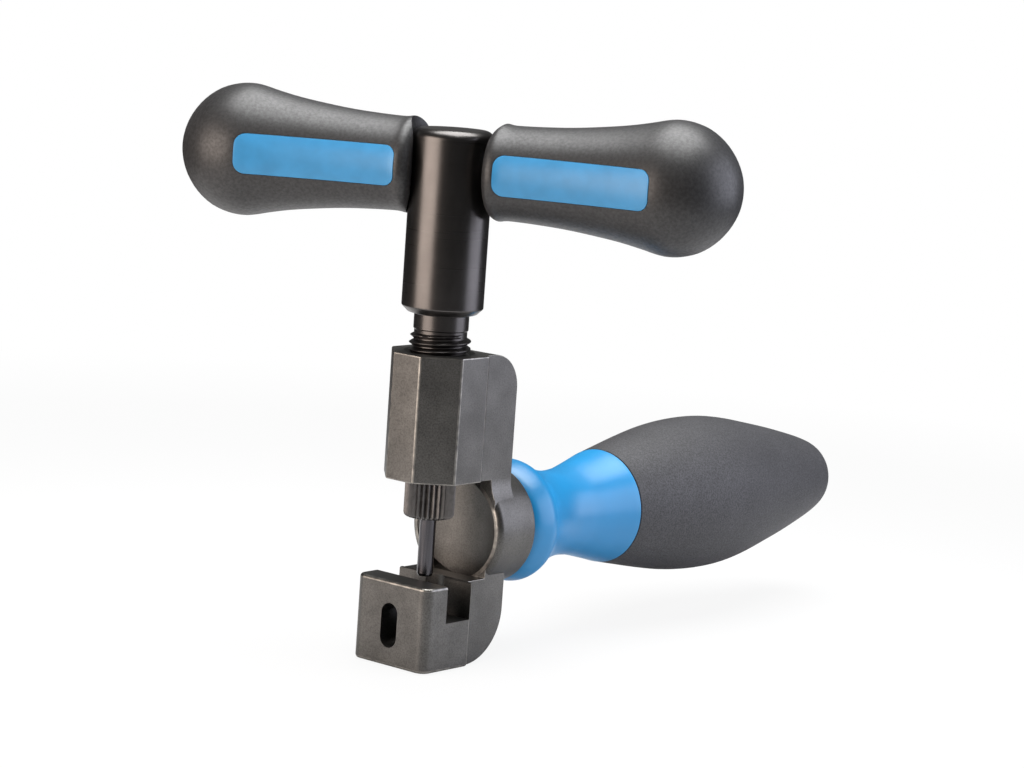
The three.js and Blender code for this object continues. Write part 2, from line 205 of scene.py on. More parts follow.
def hardened_pin(colours):
    """Hardened, centreless-ground tool steel: dark, polished, with faint lengthwise rubbing."""
    material, tree, where = start_material("Ground tool steel")
    rub_marks = blobs(tree, where, 0.4, detail=2.0, stretch=(1, 1, 30))
    gloss = add(tree, "ShaderNodeValToRGB", {"Fac": rub_marks}, [(0.3, 0.20), (0.7, 0.28)])
    skin = drifting(tree, rub_marks, tone(colours.pin, 0.85), tone(colours.pin, 1.3), 0.35)
    close_material(
        tree, {"Metallic": 1.0, "Base Color": skin, "Roughness": gloss.outputs["Color"]}
    )
    return material


def moulded_blue(colours):
    """Injection-moulded nylon from a polished tool: clear blue, semi-gloss, slight flow ripple."""
    return plastic("Moulded blue nylon", colours.blue, 0.33, 14.0, 0.05)


def window_blue(colours):
    """The same nylon where it fills the grips' windows: shot thinner, so paler and duller."""
    return plastic("Pale blue nylon", colours.pads, 0.4, 5.0, 0.03)


def plastic(name, colour, roughness, ripple_mm, depth_mm):
    """Dyed nylon: slightly uneven dye, a gloss that varies a little, and soft ripples."""
    material, tree, where = start_material(name)
    ripple = blobs(tree, where, ripple_mm, detail=2.0)
    fine = blobs(tree, where, 0.5, detail=3.0)
    span = [(0.3, roughness - 0.03), (0.7, roughness + 0.05)]
    gloss = add(tree, "ShaderNodeValToRGB", {"Fac": fine}, span)
    waves = add(
        tree, "ShaderNodeBump", {"Height": ripple, "Distance": depth_mm * MM, "Strength": 0.3}
    )
    skin = {"Height": fine, "Distance": 0.01 * MM, "Strength": 0.3}
    skin["Normal"] = waves.outputs["Normal"]
    close_material(
        tree,
        {
            "Metallic": 0.0,
            "IOR": 1.5,
            "Base Color": drifting(tree, ripple, tone(colour, 0.92), tone(colour, 1.08)),
            "Roughness": gloss.outputs["Color"],
            "Normal": add(tree, "ShaderNodeBump", skin).outputs["Normal"],
        },
    )
    return material


def sleeve_rubber(colours):
    """Thermoplastic rubber moulded against a spark-eroded tool: dry charcoal with a fine pebble."""
    return rubber("Dry charcoal rubber", colours.sleeve, 0.62, 0.45, 0.07)


def grip_rubber(colours):
    """Harder rubber from a smoother tool, darkened by handling: satin black with orange peel."""
    return rubber("Satin black rubber", colours.grips, 0.43, 0.8, 0.045)


def rubber(name, colour, roughness, pebble_mm, depth_mm):
    """Moulded rubber: its pebble is about half this size and is drawn coarser so that it shows."""
    material, tree, where = start_material(name)
    pebble = blobs(tree, where, pebble_mm, detail=3.0, roughness=0.6)
    cloud = blobs(tree, where, 12.0, detail=3.0)
    base = drifting(tree, cloud, tone(colour, 0.88), tone(colour, 1.14))
    span = [(0.3, roughness + 0.08), (0.7, roughness - 0.04)]
    gloss = add(tree, "ShaderNodeValToRGB", {"Fac": pebble}, span)
    dents = add(
        tree, "ShaderNodeBump", {"Height": pebble, "Distance": depth_mm * MM, "Strength": 0.5}
    )
    close_material(
        tree,
        {
            "Metallic": 0.0,
            "IOR": 1.5,
            "Base Color": speckled(tree, pebble, base, "#a8a8a8", 0.36, 0.64),
            "Roughness": gloss.outputs["Color"],
            "Normal": dents.outputs["Normal"],
        },
    )
    return material


def bright_steel(colours):
    """Cold-drawn bar, hidden inside the handles: bright, with drawing lines along it."""
    material, tree, where = start_material("Cold-drawn steel")
    lines = blobs(tree, where, 0.5, detail=2.0, stretch=(1, 14, 1))
    gloss = add(tree, "ShaderNodeValToRGB", {"Fac": lines}, [(0.3, 0.24), (0.7, 0.36)])
    skin = drifting(tree, lines, tone(linear("#8f9194")), tone(linear("#b4b6b8")))
    close_material(
        tree, {"Metallic": 1.0, "Base Color": skin, "Roughness": gloss.outputs["Color"]}
    )
    return material


def turned_brass(colours):
    """Free-cutting brass insert: yellow, turned, slightly dulled."""
    material, tree, where = start_material("Turned brass")
    rings = blobs(tree, where, 0.3, detail=1.0, stretch=(200, 1, 200))
    skin = drifting(tree, rings, tone(linear("#a9823c")), tone(linear("#c9a355")))
    close_material(tree, {"Metallic": 1.0, "Roughness": 0.32, "Base Color": skin})
    return material


def pale_floor(colours):
    """Seamless studio paper: it shows white to the camera and keeps the tool's soft shadow."""
    material, tree, where = start_material("Studio paper")
    far = add(tree, "ShaderNodeVectorMath", {0: where}, operation="LENGTH").outputs["Value"]
    # Painted shade: from 0.2 to 0.42 m out, the paper's own colour darkens to #303030. This stands
    # in for paper beyond the lamps' reach, so the tool's front reflects a dark room.
    painted_falloff_tones = [(0.2, tone(colours.floor)), (0.42, tone(linear("#303030")))]
    patch = add(tree, "ShaderNodeValToRGB", {"Fac": far}, painted_falloff_tones)
    paper = add(
        tree,
        "ShaderNodeBsdfPrincipled",
        {"Roughness": 0.9, "Base Color": patch.outputs["Color"]},
    )
    # To the camera it burns out to plain white beyond half a metre.
    reach = {"Value": far, "From Min": 0.15, "From Max": 0.55, "To Min": 0.9, "To Max": 1.0}
    burnt = add(tree, "ShaderNodeMapRange", reach).outputs[0]
    camera = add(tree, "ShaderNodeLightPath").outputs["Is Camera Ray"]
    seen = add(tree, "ShaderNodeMath", {0: camera, 1: burnt}, operation="MULTIPLY").outputs[0]
    white = add(tree, "ShaderNodeEmission", {"Color": (1, 1, 1, 1), "Strength": 1.0})
    shaders = {"Fac": seen, 1: paper.outputs["BSDF"], 2: white.outputs["Emission"]}
    mixed = add(tree, "ShaderNodeMixShader", shaders)
    add(tree, "ShaderNodeOutputMaterial", {"Surface": mixed.outputs["Shader"]})
    return material


FINISHES = {}


def finish(maker):
    """Each finish is made once and shared by the pieces that have it."""
    if maker.__name__ not in FINISHES:
        FINISHES[maker.__name__] = maker(bpy.context.scene.chain_tool_colours)
    return FINISHES[maker.__name__]


# ---------------------------------------------------------------- modelling steps

# The casting's material slot for rubbed edges. Its brighter steel is also painted highlight along
# the edges.
RUBBED_AND_HIGHLIT = 1


def start_fresh():
    """Object mode with nothing selected."""
    active = bpy.context.view_layer.objects.active
    if active and active.mode != "OBJECT":
        bpy.ops.object.mode_set(mode="OBJECT")
    bpy.ops.object.select_all(action="DESELECT")


def take(piece):
    """Only this piece selected, and active."""
    start_fresh()
    piece.select_set(True)
    bpy.context.view_layer.objects.active = piece
    return piece


def chain(name, points, closed=False):
    """A line of edges through points in mm, drawn by extruding one vertex. Left in edit mode."""
    start_fresh()
    bpy.ops.mesh.primitive_plane_add(size=MM)
    piece = bpy.context.object
    piece.name = piece.data.name = name
    bpy.ops.object.mode_set(mode="EDIT")
    bpy.ops.mesh.select_mode(type="VERT")
    bpy.ops.mesh.merge(type="CENTER")
    points = [Vector(p) * MM for p in points]
    bpy.ops.transform.translate(value=points[0])
    for a, b in zip(points, points[1:]):
        bpy.ops.mesh.extrude_vertices_move(TRANSFORM_OT_translate={"value": b - a})
    if closed:
        bpy.ops.mesh.select_all(action="SELECT")
        bpy.ops.mesh.edge_face_add()
    return piece


def tidy_mesh():
    """In edit mode: merges doubles and points every face outwards."""
    bpy.ops.mesh.select_all(action="SELECT")
    bpy.ops.mesh.remove_doubles(threshold=2e-6)
    bpy.ops.mesh.normals_make_consistent(inside=False)
    bpy.ops.object.mode_set(mode="OBJECT")


def turned(name, profile, axis=Z, centre=(0, 0, 0), steps=96):
    """A turned solid. The profile holds (radius, distance along axis) in mm."""
    across = X if axis != X else Z
    middle = Vector(centre)
    piece = chain(name, [middle + across * r + axis * s for r, s in profile])
    bpy.ops.mesh.select_all(action="SELECT")
    bpy.ops.mesh.spin(
        steps=steps, angle=2 * math.pi, center=middle * MM, axis=axis, use_auto_merge=True
    )
    tidy_mesh()
    return piece


def prism(name, outline, along, low, high):
    """A closed outline of (u, v) in mm, pushed from low to high along an axis."""
    frames = {"X": (Y, Z, X), "Y": (X, Z, Y), "Z": (X, Y, Z)}
    u, v, w = frames[along]
    piece = chain(name, [u * a + v * b + w * low for a, b in outline], closed=True)
    bpy.ops.mesh.select_all(action="SELECT")
    bpy.ops.mesh.extrude_region_move(TRANSFORM_OT_translate={"value": w * (high - low) * MM})
    tidy_mesh()
    return piece


def steel(piece):
    """Adds the casting's two finishes: its skin, and the rubbed one for its edges, which is partly
    painted highlight.
    """
    piece.data.materials.append(finish(black_oxide_casting))
    piece.data.materials.append(finish(rubbed_edge_and_highlight))
    return piece


def scale_points(piece, grow, chosen):
    """Scales the points for which chosen(place in mm) is true away from the Z axis."""
    take(piece)
    bpy.ops.object.mode_set(mode="EDIT")
    bpy.ops.mesh.select_mode(type="VERT")
    bpy.ops.mesh.select_all(action="DESELECT")
    bpy.ops.object.mode_set(mode="OBJECT")
    for point in piece.data.vertices:
        point.select = chosen(point.co / MM)
    bpy.ops.object.mode_set(mode="EDIT")
    bpy.ops.transform.resize(value=(grow, grow, 1), center_override=(0, 0, 0))
    bpy.ops.object.mode_set(mode="OBJECT")


def rub_and_highlight(piece, chosen):
    """Gives the rubbed finish, brighter steel that is used as painted highlight, to the faces for
    which chosen(centre in mm, normal) is true.
    """
    take(piece)
    bpy.ops.object.mode_set(mode="EDIT")
    bpy.ops.mesh.select_mode(type="FACE")
    bpy.ops.mesh.select_all(action="DESELECT")
    bpy.ops.object.mode_set(mode="OBJECT")
    for face in piece.data.polygons:
        face.select = chosen(face.center / MM, face.normal)
    piece.active_material_index = RUBBED_AND_HIGHLIT
    bpy.ops.object.mode_set(mode="EDIT")
    bpy.ops.object.material_slot_assign()
    bpy.ops.object.mode_set(mode="OBJECT")


def combine(piece, tool, how):
    """Joins the tool to the piece, cuts it out, or keeps what they share."""
    take(piece)
    step = piece.modifiers.new(how, "BOOLEAN")
    step.operation = how
    step.solver = "EXACT"
    step.object = tool
    bpy.ops.object.modifier_apply(modifier=step.name)
    bpy.data.objects.remove(tool)
    if not piece.data.polygons:
        raise RuntimeError(f"nothing was left of {piece.name}")
    return piece


def round_edges(piece, width_mm, chosen, segments=2, slot=-1):
    """Bevels the edges for which chosen(edge centre in mm, edge direction, fold angle) is true."""
    take(piece)
    bpy.ops.object.mode_set(mode="EDIT")
    bpy.ops.mesh.select_all(action="SELECT")
    bpy.ops.mesh.dissolve_limited(angle_limit=math.radians(0.3))
    bpy.ops.mesh.select_all(action="DESELECT")
    bpy.ops.mesh.select_mode(type="EDGE")
    bpy.ops.object.mode_set(mode="OBJECT")
    mesh = piece.data
    normals = {}
    for face in mesh.polygons:
        for key in face.edge_keys:
            normals.setdefault(key, []).append(face.normal.copy())
    for edge in mesh.edges:
        sides = normals.get(edge.key, [])
        if len(sides) != 2:
            continue
        a, b = (mesh.vertices[i].co for i in edge.vertices)
        fold = math.degrees(sides[0].angle(sides[1], 0))
        edge.select = chosen((a + b) / 2 / MM, (b - a).normalized(), fold)
    bpy.ops.object.mode_set(mode="EDIT")
    bpy.ops.mesh.bevel(
        offset=width_mm * MM, segments=segments, affect="EDGES", material=slot, clamp_overlap=True
    )
    bpy.ops.object.mode_set(mode="OBJECT")
    return piece


def arc(centre, radius, start, end, steps):
    """Points on an arc, angles in degrees."""
    turn = [math.radians(start + (end - start) * i / steps) for i in range(steps + 1)]
    return [(centre[0] + radius * math.cos(t), centre[1] + radius * math.sin(t)) for t in turn]


def flowing(points, per_span=4):
    """A smooth line through (distance, radius) points, as (radius, distance)."""
    line = []
    padded = [points[0], *points, points[-1]]
    for p0, p1, p2, p3 in zip(padded, padded[1:], padded[2:], padded[3:]):
        for i in range(per_span):
            t = i / per_span
            line.append(
                tuple(
                    0.5
                    * (
                        2 * b
                        + (c - a) * t
                        + (2 * a - 5 * b + 4 * c - d) * t * t
                        + (3 * b - a - 3 * c + d) * t**3
                    )
                    for a, b, c, d in zip(p0, p1, p2, p3)
                )
            )
    line.append(points[-1])
    return [(r, s) for s, r in line]


def finish_piece(piece, body, maker, replaces, smooth_deg=32):
    """Sets a piece's finish, shading and carrying body, and hides the solids it stands for."""
    take(piece)
    if not piece.data.materials:
        piece.data.materials.append(finish(maker))
    bpy.ops.object.transform_apply(location=True, rotation=True, scale=True)
    bpy.ops.object.shade_smooth_by_angle(angle=math.radians(smooth_deg))
    # Long faces keep their own direction, so that only the narrow ones beside them turn the light.
    even = piece.modifiers.new("even", "WEIGHTED_NORMAL")
    even.keep_sharp = True
    bpy.ops.object.modifier_apply(modifier=even.name)
    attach(piece, body)
    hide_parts(*replaces)


# ---------------------------------------------------------------- sizes and colours


def length(name, text, default_mm):
    """A length property, given in mm and kept in metres."""
    return bpy.props.FloatProperty(
        name=name, description=text, default=default_mm * MM, unit="LENGTH", precision=5
    )


def colour(name, text, code):
    """A colour property, given as sRGB hex."""
    return bpy.props.FloatVectorProperty(
        name=name, description=text, default=linear(code), size=3, min=0, max=1, subtype="COLOR"
    )


class ChainToolSizes(bpy.types.PropertyGroup):
    """Sizes of the pieces that the operators make."""

    edge: length("Edge break", "Width of the broken edges of the casting", 0.4)
    groove: length("Chain groove", "Width of the groove that takes the chain", 9.25)
    pitch: length("Thread pitch", "Distance between turns of the drive screw's thread", 2.0)
    thread: length("Thread radius", "Outer radius of the drive screw's thread", 8.1)
    knurl: length("Knurl depth", "Height of the ridges on the pin retainer", 0.42)
    pad: length("Pad height", "How far the grips' window pads stand proud", 0.15)


class ChainToolColours(bpy.types.PropertyGroup):
    """Colours of the finishes."""

    casting: colour("Casting", "Black oxide on the cast body", "#5f5e5c")
    # Painted highlight: this brighter steel is rubbed wear on the casting's edges and also stands
    # in for light caught along them.
    worn_and_highlight: colour("Rubbed edge and highlight", "Steel where the oxide is rubbed thin, and painted highlight", "#98958f")
    turned: colour("Turned steel", "Black oxide on the drive screw", "#504e4d")
    pin: colour("Push pin", "Ground steel of the pin", "#4c4b4e")
    blue: colour("Blue", "Rear handle's moulded core", "#177cb2")
    pads: colour("Pale blue", "Windows in the T-handle's grips", "#3286ba")
    grips: colour("Satin rubber", "Grips of the T-handle", "#2e2e2f")
    sleeve: colour("Dry rubber", "Rear handle's sleeve", "#3c3c3f")
    floor: colour("Floor", "Studio paper", "#c8c8c8")


# ---------------------------------------------------------------- operators


class BuildBodyCasting(bpy.types.Operator):
    """Cradle, spine, boss and screw block in one casting"""

    bl_idname = "chain_tool.body_casting"
    bl_label = "Body casting"

    def execute(self, context):
        size = context.scene.chain_tool_sizes
        edge = size.edge / MM
        # The spine: its side view, with the throat cut out, through its front view.
        side = [(0, BLOCK_TOP), (0, BLOCK_FOOT), (11.3, BLOCK_FOOT), (11.3, CRADLE_TOP)]
        side += [(0, CRADLE_TOP), (0, 0)]
        side += arc((5.3, 14), 14, -90, 0, 28) + arc((9.8, 72.8), 9.5, 0, 90, 22)
        body = steel(prism("body_shell", side, "X", -16, 16))
        # Below the screw block its sides lead out into the round boss.
        flank = [(11.2, 83), (11.2, 49.2)] + arc((21.2, 49.2), 10, 180, 214.7, 8)[1:]
        flank += [(13.0, 36), (11.2, 36), (11.2, -1)]
        front = flank + [(-a, b) for a, b in reversed(flank)]
        combine(body, steel(prism("front_view", front, "Y", -1, 20)), "INTERSECT")
        # The rounded edges of the spine, screw block and cradle get the brighter rubbed steel:
        # rubbed wear and painted highlight along the edges.
        back_corner = lambda at, way, fold: fold > 60 and at.y > 5.2
        round_edges(body, 0.7, back_corner, 3, RUBBED_AND_HIGHLIT)
        # The screw block is a square with its front corners cut back at 45 degrees.
        eight = [(-4.7, -12.6), (4.7, -12.6), (12.4, -4.8), (12.4, 5.8)]
        eight += [(11.0, 7.2), (-11.0, 7.2), (-12.4, 5.8), (-12.4, -4.8)]
        block = steel(prism("screw_block", eight, "Z", BLOCK_FOOT, BLOCK_TOP))
        combine(body, round_edges(block, edge, lambda at, way, fold: True, 2, RUBBED_AND_HIGHLIT), "UNION")
        # The cradle has two round front corners.
        plan = arc((9.7, -9.9), 3, -90, 0, 10) + [(12.7, 5), (-12.7, 5)]
        plan += arc((-9.7, -9.9), 3, 180, 270, 10)
        cradle = steel(prism("cradle", plan, "Z", 0, CRADLE_TOP))
        round_edges(cradle, 2 * edge, lambda at, way, fold: fold > 30, 3, RUBBED_AND_HIGHLIT)
        combine(body, cradle, "UNION")
        outline = [(0, 11.2), (14.1, 11.2), (14.6, 11.3), (15.05, 11.55), (15.45, 12.0)]
        outline += [(15.7, 12.55), (15.8, 13.2), (15.85, 24.9), (15.6, 25.4), (15.1, 25.6)]
        boss = steel(turned("boss", outline + [(0, 25.6)], Y, HANDLE_LINE, 112))
        # Painted highlight: the boss's front faces get the brighter rubbed steel, standing in for
        # the bright lip round the dish.
        rub_and_highlight(boss, lambda at, way: at.y < 11.4 and way.y < -0.2)
        combine(body, boss, "UNION")

        # The screw's bore, with a countersunk mouth.
        bore = [(0, 47), (8.2, 47), (8.2, 81.3), (9.4, BLOCK_TOP), (9.4, 84), (0, 84)]
        combine(body, turned("screw_bore", bore, steps=72), "DIFFERENCE")
        # The dish in the boss's face: part of an upright cylinder, inside a round rim.
        dish = [(0, 19), (24, 19), (24, 48.6), (0, 48.6)]
        dish = turned("dish", dish, Z, (0, -8.5, 0), 220)
        rim = turned("rim", [(0, 10), (13.6, 10), (13.6, 19), (0, 19)], Y, HANDLE_LINE, 112)
        combine(body, combine(dish, rim, "INTERSECT"), "DIFFERENCE")
        # The chain's groove, with its lips broken at 45 degrees.
        low = -0.325 - size.groove / MM / 2
        high = low + size.groove / MM
        lip = edge + 0.05
        groove = [(low, 12.7), (high, 12.7), (high, CRADLE_TOP - edge)]
        groove += [(high + lip, 22.65), (high + lip, 30), (low - lip, 30), (low - lip, 22.65)]
        groove += [(low, CRADLE_TOP - edge)]
        combine(body, prism("groove", groove, "X", -20, 20), "DIFFERENCE")
        # Round the pin's path: a relief over the groove, the rivet's bore and its window.
        relief = [(0, 18.9), (5.4, 18.9), (5.4, 26), (0, 26)]
        combine(body, turned("relief", relief, steps=64), "DIFFERENCE")
        rivet = [(0, 3.6), (2.9, 3.6), (2.9, 14), (0, 14)]
        combine(body, turned("rivet_bore", rivet, steps=40), "DIFFERENCE")
        window = arc((0, 14), 2.8, 0, 180, 16) + arc((0, 7.7), 2.8, 180, 360, 16)
        combine(body, prism("window", window, "Y", -14, 0), "DIFFERENCE")
        socket = [(0, 16.9), (5.3, 16.9), (5.3, 27), (0, 27)]
        combine(body, turned("socket", socket, Y, HANDLE_LINE, 40), "DIFFERENCE")
        finish_piece(body, "frame", black_oxide_casting, ["body_casting"])
        return {"FINISHED"}


class BuildDriveScrew(bpy.types.Operator):
    """Threaded screw, relief neck and hub"""

    bl_idname = "chain_tool.drive_screw"
    bl_label = "Drive screw"

    def execute(self, context):
        size = context.scene.chain_tool_sizes
        pitch, crest = size.pitch / MM, size.thread / MM
        root = crest - 1.15
        # From the tail up: thread's core, relief neck, chamfered hub and its domed top.
        shaft = [(0, 43.9), (3.7, 43.9), (4.2, 44.4), (4.2, 53), (root - 0.6, 53), (root, 53.7)]
        shaft += [(root, 88.0), (7.2, 88.3), (7.2, 92.1), (7.45, 92.45), (8.8, 92.5)]
        shaft += [(9.15, 92.65), (10.5, 93.95), (10.7, 94.3)]
        shaft += arc((8.1, 137.7), 2.6, 0, 90, 12) + [(0, 140.3)]
        screw = turned("screw_shaft", shaft, steps=128)
        turns = int((88.0 - THREAD_LOW - 0.2) / pitch)
        ridge = [(root - 0.25, 0), (root, 0.1), (crest - 0.08, 0.82), (crest, 0.95)]
        ridge += [(crest, 1.05), (crest - 0.08, 1.18), (root, 1.9), (root - 0.25, 1.99)]
        line = [(r, 0, THREAD_LOW + z * pitch / 2) for r, z in ridge]
        thread = chain("thread", line + [(ridge[0][0], 0, THREAD_LOW)])
        bpy.ops.mesh.select_all(action="SELECT")
        bpy.ops.mesh.remove_doubles(threshold=1e-6)
        bpy.ops.object.mode_set(mode="OBJECT")
        coil = thread.modifiers.new("coil", "SCREW")
        coil.axis = "Z"
        coil.angle = 2 * math.pi
        coil.iterations = turns
        coil.screw_offset = pitch * MM
        coil.steps = coil.render_steps = 56
        coil.use_merge_vertices = False
        take(thread)
        bpy.ops.object.modifier_apply(modifier=coil.name)
        bpy.ops.object.mode_set(mode="EDIT")
        bpy.ops.mesh.select_all(action="DESELECT")
        bpy.ops.mesh.select_mode(type="EDGE")
        bpy.ops.mesh.select_non_manifold()
        bpy.ops.mesh.fill()
        tidy_mesh()
        # The ridge dies away at both ends, as a cut thread does where the tool runs out.
        low, high, bands = THREAD_LOW, THREAD_LOW + (turns + 1) * pitch, 12
        for band in range(bands):
            near, far = (1.1 * pitch * (band + i) / bands for i in (0, 1))
            grow = 0.83 + 0.17 * (band + 0.5) / bands
            scale_points(
                thread, grow, lambda at: near <= at.z - low < far or near <= high - at.z < far
            )
        combine(screw, thread, "UNION")
        hole = turned("bar_hole", [(0, -14), (4.2, -14), (4.2, 14), (0, 14)], X, steps=40)
        hole.matrix_world = T_HANDLE
        take(hole)
        bpy.ops.object.transform_apply()
        combine(screw, hole, "DIFFERENCE")
        finish_piece(screw, "drive", black_oxide_turned, ["drive_screw"])
        return {"FINISHED"}


class BuildPinRetainer(bpy.types.Operator):
    """Knurled cup that holds the push pin under the screw"""

    bl_idname = "chain_tool.pin_retainer"
    bl_label = "Pin retainer"

    def execute(self, context):
        size = context.scene.chain_tool_sizes
        # Four lines of points to each of the 28 ridges.
        steps = 28 * 4
        cup = [(2.4, 38.4), (5.2, 38.4), (5.75, 38.6), (6.15, 39.05), (6.25, 39.4), (6.25, 51.9)]
        cup += [(6.1, 52.3), (5.6, 52.6), (4.5, 52.6), (4.5, 41.9), (2.4, 41.9), (2.4, 38.4)]
        piece = turned("knurled_retainer", cup, steps=steps)
        # Every fourth line of points is drawn out into a ridge, and the line between two pushed in.
        for line, lift in ((0, 1.0), (1, 0.2), (2, -0.8), (3, 0.2)):
            grow = 1 + lift * size.knurl / (6.25 * MM)
            around = lambda at: round(math.atan2(at.y, at.x) / (2 * math.pi) * steps) % 4 == line
            outside = lambda at: math.hypot(at.x, at.y) > 5.3 and 38.45 < at.z < 52.45
            scale_points(piece, grow, lambda at: outside(at) and around(at))
        finish_piece(piece, "drive", rolled_knurl, ["pin_retainer"], 20)
        return {"FINISHED"}


class BuildPushPin(bpy.types.Operator):
    """Headed pin that drives the rivet"""

    bl_idname = "chain_tool.push_pin"
    bl_label = "Push pin"

    def execute(self, context):
        shape = [(0, 22.7), (1.55, 22.7), (1.85, 22.8), (2.07, 23.1), (2.15, 23.5), (2.15, 42.0)]
        shape += [(2.4, 42.2), (3.7, 42.2), (3.9, 42.4), (3.9, 43.4), (3.7, 43.6), (0, 43.6)]
        piece = turned("ground_pin", shape, steps=48)
        finish_piece(piece, "pin", hardened_pin, ["push_pin"])
        return {"FINISHED"}


# The T-handle is drawn along X from the bar's middle, then turned, and slid 1.6 mm through the hub.
T_HANDLE = (
    Matrix.Translation((0, 0, 130.2 * MM))
    @ Matrix.Rotation(math.radians(23), 4, "Z")
    @ Matrix.Translation((1.6 * MM, 0, 0))
)
# Distance from the bar's middle and radius, both in mm.
GRIP = [
    (9.75, 9.0), (9.8, 9.9), (10.0, 10.7), (10.4, 11.4), (11.1, 12.15), (12.0, 12.55),
    (12.9, 12.6), (14.0, 12.4), (16, 12.3), (22, 12.5), (30, 13.0), (38, 13.9), (45, 14.9),
    (51, 16.1), (55, 17.05), (58, 17.4), (61.5, 17.05), (65.5, 15.75), (69.2, 13.25),
    (72.2, 9.9), (74.2, 6.3), (75.1, 3.2), (75.4, 0),
]


def window_prism(name, grow, depth=40):
    """Rounded oblong of the pad, right through the grip from front to back."""
    x0, x1, h, r = 13.3 - grow, 55.4 + grow, 5.2 + grow, 2.8 + grow
    outline = arc((x1 - r, h - r), r, 0, 90, 8) + arc((x0 + r, h - r), r, 90, 180, 8)
    outline += arc((x0 + r, -h + r), r, 180, 270, 8) + arc((x1 - r, -h + r), r, 270, 360, 8)
    return prism(name, outline, "Y", -depth / 2, depth / 2)


class BuildGrips(bpy.types.Operator):
    """Both grips of the T-handle: blue core with its window pads, and the charcoal shell"""

    bl_idname = "chain_tool.grips"
    bl_label = "T-handle grips"

    def execute(self, context):
        size = context.scene.chain_tool_sizes
        line = [(0, 9.75)] + flowing(GRIP, 3)
        shell = turned("shell", line, X, steps=112)
        hollow = [(0, 0), (4.3, 0), (4.3, 13.4), (8.9, 13.4), (8.9, 68.4), (0, 68.4)]
        combine(shell, turned("hollow", hollow, X, steps=48), "DIFFERENCE")
        # The inner end is scooped out to stand round the hub.
        cope = turned("cope", [(0, -20), (12.6, -20), (12.6, 20), (0, 20)], Z, steps=96)
        combine(shell, cope, "DIFFERENCE")
        combine(shell, window_prism("window", 0.12), "DIFFERENCE")
        proud = size.pad / MM
        raised = line[:1] + [(r + proud, s) for r, s in line[1:-2]] + [(0, 75.3)]
        pads = turned("pads", raised, X, steps=112)
        combine(pads, window_prism("oblong", 0), "INTERSECT")
        outer = lambda at, way, fold: fold > 40 and math.hypot(at.y, at.z) > 10
        round_edges(pads, 0.3, outer, 3)
        barrel = [(4.3, 13.7), (8.6, 13.7), (8.6, 68), (4.3, 68), (4.3, 13.7)]
        combine(pads, turned("barrel", barrel, X, steps=48), "UNION")
        rim = lambda at, way, fold: outer(at, way, fold) and abs(at.z) < 5.6 and 13 < at.x < 56
        round_edges(shell, 0.2, rim, 2)
        for hand, turn in (("right", 0), ("left", math.pi)):
            place = T_HANDLE @ Matrix.Rotation(turn, 4, "Z")
            for source, kind, slot, maker in (
                (pads, "core", "blue_plastic", window_blue),
                (shell, "shell", "grip_rubber", grip_rubber),
            ):
                piece = take(source)
                if hand == "right":
                    bpy.ops.object.duplicate()
                    piece = context.object
                piece.name = piece.data.name = f"{hand}_grip_{kind}"
                piece.matrix_world = place
                finish_piece(piece, "drive", maker, [f"grip_{kind}_{hand}"])
        return {"FINISHED"}


# Distance from the chain's side and radius, both in mm, of the rear handle's two pieces.
NECK = [
    (25.9, 13.9), (25.9, 14.4), (26.2, 14.9), (27.4, 15.6), (29.2, 16.15), (31.0, 16.55),
    (32.2, 16.68), (33.3, 16.5), (34.6, 16.0), (36.2, 15.1), (39.0, 13.85), (43.0, 12.65),
    (46.5, 12.0), (50, 11.75), (54, 11.95), (58, 12.5), (65.0, 14.2), (70.4, 15.65),
    (71.15, 15.75), (71.35, 15.5),
]
SLEEVE = [
    (71.45, 15.45), (71.6, 15.85), (72.4, 16.05), (79, 17.4), (88, 19.2), (98, 20.9), (108, 21.8),
    (118, 21.8), (127, 20.8), (137, 18.9), (148.5, 16.5), (159, 14.0), (166, 12.1), (170.5, 10.4),
    (173.2, 8.2), (174.4, 6.4), (174.6, 5.9),
]


class BuildRearHandle(bpy.types.Operator):
    """Blue neck and core of the rear handle, and its charcoal sleeve"""

    bl_idname = "chain_tool.rear_handle"
    bl_label = "Rear handle"

    def execute(self, context):
        inner = [(max(r - 3.2, 4.5), s) for s, r in SLEEVE[3:-3]]
        core = flowing(NECK, 4) + [(12.2, 71.35)] + [(r - 0.3, s) for r, s in inner]
        core += [(5.6, 172.4), (5.6, 174.5), (5.3, 175.2), (4.6, 175.8), (3.2, 176.1), (0, 176.2)]
        core = [(0, 25.9)] + core
        piece = turned("handle_neck", core, Y, HANDLE_LINE, 128)
        bore = [(0, 20), (5.3, 20), (5.3, 32.7), (7.7, 32.7), (7.7, 57.8), (5.3, 57.8)]
        bore += [(5.3, 60.5), (0, 60.5)]
        combine(piece, turned("bore", bore, Y, HANDLE_LINE, 48), "DIFFERENCE")
        finish_piece(piece, "frame", moulded_blue, ["handle_core"], 40)
        outside = flowing(SLEEVE, 4)
        skin = outside + [(5.85, 172.1)] + inner[::-1] + [(12.5, 71.45), outside[0]]
        piece = turned("handle_grip", skin, Y, HANDLE_LINE, 128)
        finish_piece(piece, "frame", sleeve_rubber, ["handle_sleeve"], 40)
        return {"FINISHED"}


class DressInnerHardware(bpy.types.Operator):
    """Finishes for the stud, insert and cross bar, which keep their solids"""

    bl_idname = "chain_tool.inner_hardware"
    bl_label = "Inner hardware"

    def execute(self, context):
        for name, maker in (
            ("handle_stud", bright_steel),
            ("cross_bar", bright_steel),
            ("handle_insert", turned_brass),
        ):
            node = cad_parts[name]
            node.data.materials.clear()
            node.data.materials.append(finish(maker))
        return {"FINISHED"}


